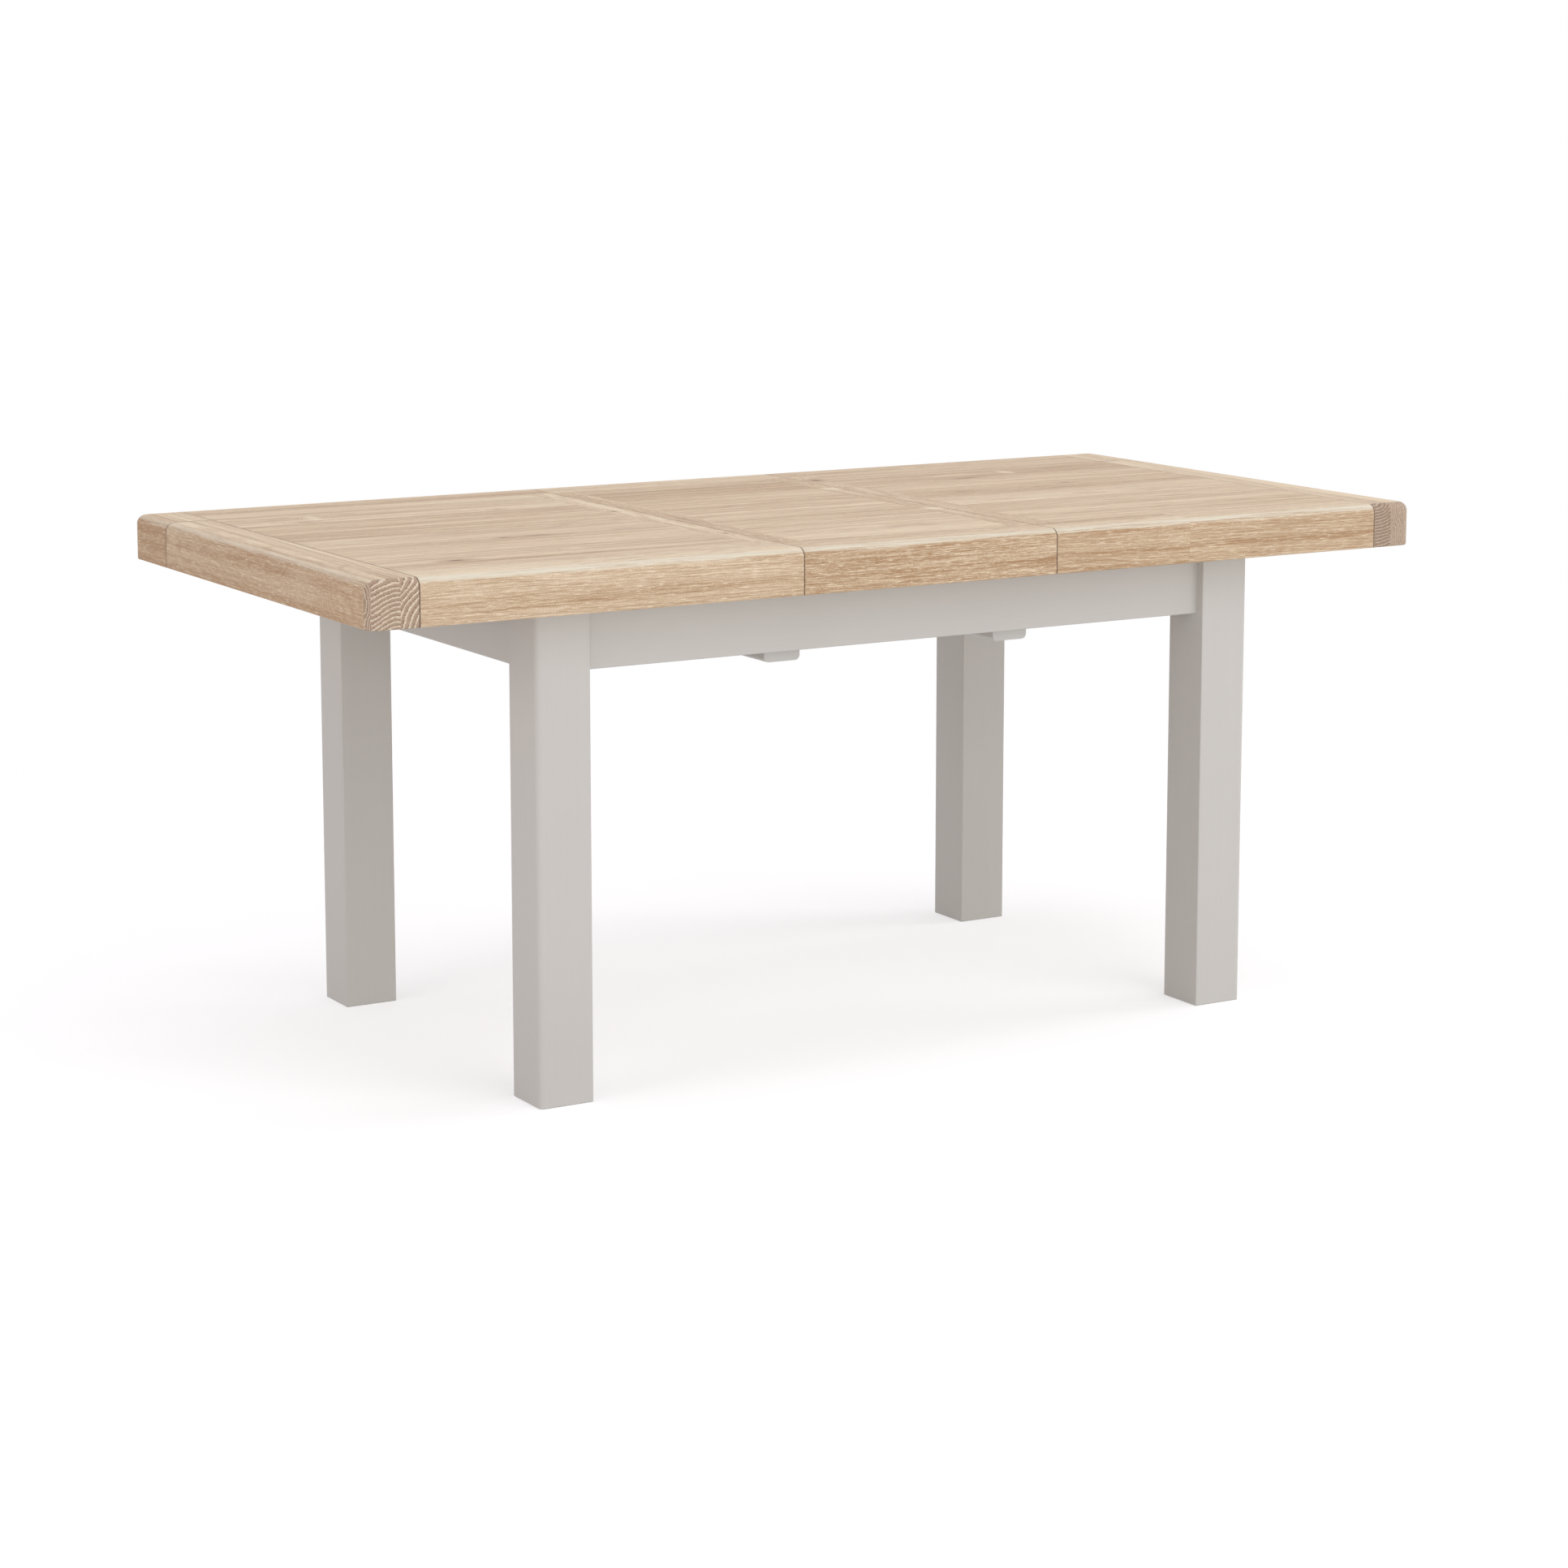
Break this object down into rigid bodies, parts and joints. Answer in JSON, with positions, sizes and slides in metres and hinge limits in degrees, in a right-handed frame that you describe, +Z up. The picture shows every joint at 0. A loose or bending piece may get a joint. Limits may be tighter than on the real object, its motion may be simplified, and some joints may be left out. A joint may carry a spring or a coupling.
{
  "type": "extending dining table",
  "caption": "Extending dining table: painted square-legged frame with aprons and cross rails, thick pale oak top whose half tops slide apart for a loose drop-in leaf.",
  "frame": {"origin": "on the floor, under the middle of the table", "axes": "+X along the table to the right, +Y to the back, +Z up"},
  "size_m": [1.787, 0.87, 0.78],
  "materials": {
    "oak": "limed oak, matt lacquer",
    "plain_wood": "planed, unpainted",
    "paint": "stone grey satin paint",
    "steel": "zinc plated"
  },
  "bodies": {
    "frame": {"leg_front_left": "paint", "leg_front_right": "paint", "leg_back_left": "paint", "leg_back_right": "paint", "apron_front": "paint", "apron_back": "paint", "apron_left": "paint", "apron_right": "paint", "cross_rail_left": "paint", "cross_rail_right": "paint", "guide_rail_front": "plain_wood", "guide_rail_back": "plain_wood", "corner_block_front_left": "plain_wood", "corner_block_front_right": "plain_wood", "corner_block_back_left": "plain_wood", "corner_block_back_right": "plain_wood", "slide_stops": "plain_wood", "leg_bolts": "steel", "leg_nuts": "steel", "leg_washers": "steel"},
    "left_half": {"left_cleat": "oak", "left_lipping_front": "oak", "left_lipping_back": "oak", "left_seam_rail": "oak", "left_panel": "oak", "left_inner_batten": "plain_wood", "left_outer_batten": "plain_wood", "left_runner_front": "plain_wood", "left_runner_back": "plain_wood"},
    "right_half": {"right_cleat": "oak", "right_lipping_front": "oak", "right_lipping_back": "oak", "right_seam_rail": "oak", "right_panel": "oak", "right_inner_batten": "plain_wood", "right_outer_batten": "plain_wood", "right_runner_front": "plain_wood", "right_runner_back": "plain_wood"},
    "leaf": {"leaf_lipping_front": "oak", "leaf_lipping_back": "oak", "leaf_rail_left": "oak", "leaf_rail_right": "oak", "leaf_panel": "oak", "leaf_batten_left": "plain_wood", "leaf_batten_right": "plain_wood", "leaf_locators": "plain_wood"}
  },
  "joints": [
    {"name": "left_slide", "type": "slide", "parent": "frame", "child": "left_half", "axis": [-1, 0, 0], "range_m": [0, 0.03]},
    {"name": "right_slide", "type": "slide", "parent": "frame", "child": "right_half", "axis": [1, 0, 0], "range_m": [0, 0.03]},
    {"name": "leaf_lift", "type": "slide", "parent": "frame", "child": "leaf", "axis": [0, 0, 1], "range_m": [0, 0.12]}
  ]
}
